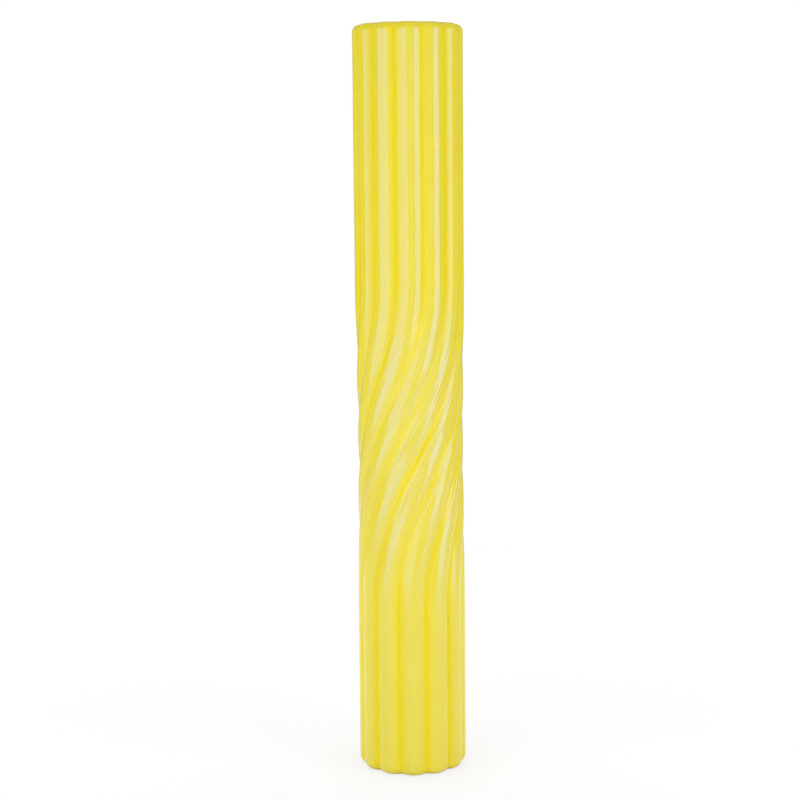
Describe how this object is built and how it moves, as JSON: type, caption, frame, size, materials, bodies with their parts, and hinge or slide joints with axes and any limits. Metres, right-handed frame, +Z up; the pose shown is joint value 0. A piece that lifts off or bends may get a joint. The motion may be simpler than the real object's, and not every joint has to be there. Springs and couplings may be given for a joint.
{
  "type": "flexible resistance bar",
  "caption": "Solid rubber bar with rounded lengthwise ribs and flat ends, gripped by two hands and wrung or bent to exercise hand, wrist and forearm. Stored wrung a third of a turn.",
  "frame": {"origin": "centre of the lower end face, which the bar stands on", "axes": "+Z up along the bar's long axis, -Y towards the front, where a rib's crest faces the viewer at both ends, +X to the viewer's right"},
  "size_m": [0.0444, 0.0444, 0.3048],
  "materials": {
    "yellow_rubber": "satin, bright yellow moulded rubber"
  },
  "bodies": {
    "lower_end": {"lower_end": "yellow_rubber"},
    "lower_bend_slice_1": {"lower_bend_slice_1": "yellow_rubber"},
    "lower_bend_slice_2": {"lower_bend_slice_2": "yellow_rubber"},
    "lower_bend_slice_3": {"lower_bend_slice_3": "yellow_rubber"},
    "lower_middle": {"lower_middle": "yellow_rubber"},
    "twist_slice_01": {"twist_slice_01": "yellow_rubber"},
    "twist_slice_02": {"twist_slice_02": "yellow_rubber"},
    "twist_slice_03": {"twist_slice_03": "yellow_rubber"},
    "twist_slice_04": {"twist_slice_04": "yellow_rubber"},
    "twist_slice_05": {"twist_slice_05": "yellow_rubber"},
    "twist_slice_06": {"twist_slice_06": "yellow_rubber"},
    "twist_slice_07": {"twist_slice_07": "yellow_rubber"},
    "twist_slice_08": {"twist_slice_08": "yellow_rubber"},
    "twist_slice_09": {"twist_slice_09": "yellow_rubber"},
    "twist_slice_10": {"twist_slice_10": "yellow_rubber"},
    "twist_slice_11": {"twist_slice_11": "yellow_rubber"},
    "twist_slice_12": {"twist_slice_12": "yellow_rubber"},
    "twist_slice_13": {"twist_slice_13": "yellow_rubber"},
    "twist_slice_14": {"twist_slice_14": "yellow_rubber"},
    "upper_middle": {"upper_middle": "yellow_rubber"},
    "upper_bend_slice_1": {"upper_bend_slice_1": "yellow_rubber"},
    "upper_bend_slice_2": {"upper_bend_slice_2": "yellow_rubber"},
    "upper_bend_slice_3": {"upper_bend_slice_3": "yellow_rubber"},
    "upper_end": {"upper_end": "yellow_rubber"}
  },
  "joints": [
    {"name": "lower_bend", "type": "hinge", "parent": "lower_end", "child": "lower_bend_slice_1", "pos_m": [0, 0, 0.016], "axis": [0, 1, 0], "range_deg": [-15, 15], "stiffness_Nm_per_rad": 8.6, "deforming": ["lower_bend_slice_1"]},
    {"name": "lower_bend_2", "type": "hinge", "parent": "lower_bend_slice_1", "child": "lower_bend_slice_2", "pos_m": [0, 0, 0.032], "axis": [0, 1, 0], "range_deg": [-15, 15], "stiffness_Nm_per_rad": 8.6, "deforming": ["lower_bend_slice_2"]},
    {"name": "lower_bend_3", "type": "hinge", "parent": "lower_bend_slice_2", "child": "lower_bend_slice_3", "pos_m": [0, 0, 0.048], "axis": [0, 1, 0], "range_deg": [-15, 15], "stiffness_Nm_per_rad": 8.6, "deforming": ["lower_bend_slice_3"]},
    {"name": "lower_bend_4", "type": "hinge", "parent": "lower_bend_slice_3", "child": "lower_middle", "pos_m": [0, 0, 0.064], "axis": [0, 1, 0], "range_deg": [-15, 15], "stiffness_Nm_per_rad": 8.6},
    {"name": "twist", "type": "hinge", "parent": "lower_middle", "child": "upper_middle", "pos_m": [0, 0, 0.1375], "axis": [0, 0, 1], "range_deg": [-170, 60], "stiffness_Nm_per_rad": 0.7},
    {"name": "twist_01", "type": "hinge", "parent": "lower_middle", "child": "twist_slice_01", "pos_m": [0, 0, 0.1375], "axis": [0, 0, 1], "range_deg": [-0.63, 0.23]},
    {"name": "twist_02", "type": "hinge", "parent": "lower_middle", "child": "twist_slice_02", "pos_m": [0, 0, 0.1375], "axis": [0, 0, 1], "range_deg": [-5.45, 1.93]},
    {"name": "twist_03", "type": "hinge", "parent": "lower_middle", "child": "twist_slice_03", "pos_m": [0, 0, 0.1375], "axis": [0, 0, 1], "range_deg": [-14.34, 5.07]},
    {"name": "twist_04", "type": "hinge", "parent": "lower_middle", "child": "twist_slice_04", "pos_m": [0, 0, 0.1375], "axis": [0, 0, 1], "range_deg": [-26.56, 9.38]},
    {"name": "twist_05", "type": "hinge", "parent": "lower_middle", "child": "twist_slice_05", "pos_m": [0, 0, 0.1375], "axis": [0, 0, 1], "range_deg": [-41.4, 14.62]},
    {"name": "twist_06", "type": "hinge", "parent": "lower_middle", "child": "twist_slice_06", "pos_m": [0, 0, 0.1375], "axis": [0, 0, 1], "range_deg": [-58.1, 20.51]},
    {"name": "twist_07", "type": "hinge", "parent": "lower_middle", "child": "twist_slice_07", "pos_m": [0, 0, 0.1375], "axis": [0, 0, 1], "range_deg": [-75.91, 26.8]},
    {"name": "twist_08", "type": "hinge", "parent": "lower_middle", "child": "twist_slice_08", "pos_m": [0, 0, 0.1375], "axis": [0, 0, 1], "range_deg": [-94.1, 33.22]},
    {"name": "twist_09", "type": "hinge", "parent": "lower_middle", "child": "twist_slice_09", "pos_m": [0, 0, 0.1375], "axis": [0, 0, 1], "range_deg": [-111.92, 39.51]},
    {"name": "twist_10", "type": "hinge", "parent": "lower_middle", "child": "twist_slice_10", "pos_m": [0, 0, 0.1375], "axis": [0, 0, 1], "range_deg": [-128.61, 45.4]},
    {"name": "twist_11", "type": "hinge", "parent": "lower_middle", "child": "twist_slice_11", "pos_m": [0, 0, 0.1375], "axis": [0, 0, 1], "range_deg": [-143.46, 50.64]},
    {"name": "twist_12", "type": "hinge", "parent": "lower_middle", "child": "twist_slice_12", "pos_m": [0, 0, 0.1375], "axis": [0, 0, 1], "range_deg": [-155.68, 54.95]},
    {"name": "twist_13", "type": "hinge", "parent": "lower_middle", "child": "twist_slice_13", "pos_m": [0, 0, 0.1375], "axis": [0, 0, 1], "range_deg": [-164.57, 58.09]},
    {"name": "twist_14", "type": "hinge", "parent": "lower_middle", "child": "twist_slice_14", "pos_m": [0, 0, 0.1375], "axis": [0, 0, 1], "range_deg": [-169.38, 59.79]},
    {"name": "upper_bend", "type": "hinge", "parent": "upper_middle", "child": "upper_bend_slice_1", "pos_m": [0, 0, 0.219], "axis": [0, 1, 0], "range_deg": [-15, 15], "stiffness_Nm_per_rad": 8.6, "deforming": ["upper_bend_slice_1"]},
    {"name": "upper_bend_2", "type": "hinge", "parent": "upper_bend_slice_1", "child": "upper_bend_slice_2", "pos_m": [0, 0, 0.235], "axis": [0, 1, 0], "range_deg": [-15, 15], "stiffness_Nm_per_rad": 8.6, "deforming": ["upper_bend_slice_2"]},
    {"name": "upper_bend_3", "type": "hinge", "parent": "upper_bend_slice_2", "child": "upper_bend_slice_3", "pos_m": [0, 0, 0.251], "axis": [0, 1, 0], "range_deg": [-15, 15], "stiffness_Nm_per_rad": 8.6, "deforming": ["upper_bend_slice_3"]},
    {"name": "upper_bend_4", "type": "hinge", "parent": "upper_bend_slice_3", "child": "upper_end", "pos_m": [0, 0, 0.267], "axis": [0, 1, 0], "range_deg": [-15, 15], "stiffness_Nm_per_rad": 8.6}
  ],
  "couplings": [
    {"joint": "lower_bend_2", "follows": "lower_bend", "ratio": 1},
    {"joint": "lower_bend_3", "follows": "lower_bend", "ratio": 1},
    {"joint": "lower_bend_4", "follows": "lower_bend", "ratio": 1},
    {"joint": "twist_01", "follows": "twist", "ratio": 0.0037},
    {"joint": "twist_02", "follows": "twist", "ratio": 0.032},
    {"joint": "twist_03", "follows": "twist", "ratio": 0.0843},
    {"joint": "twist_04", "follows": "twist", "ratio": 0.1562},
    {"joint": "twist_05", "follows": "twist", "ratio": 0.2435},
    {"joint": "twist_06", "follows": "twist", "ratio": 0.3417},
    {"joint": "twist_07", "follows": "twist", "ratio": 0.4465},
    {"joint": "twist_08", "follows": "twist", "ratio": 0.5535},
    {"joint": "twist_09", "follows": "twist", "ratio": 0.6583},
    {"joint": "twist_10", "follows": "twist", "ratio": 0.7565},
    {"joint": "twist_11", "follows": "twist", "ratio": 0.8438},
    {"joint": "twist_12", "follows": "twist", "ratio": 0.9157},
    {"joint": "twist_13", "follows": "twist", "ratio": 0.968},
    {"joint": "twist_14", "follows": "twist", "ratio": 0.9963},
    {"joint": "upper_bend_2", "follows": "upper_bend", "ratio": 1},
    {"joint": "upper_bend_3", "follows": "upper_bend", "ratio": 1},
    {"joint": "upper_bend_4", "follows": "upper_bend", "ratio": 1}
  ]
}
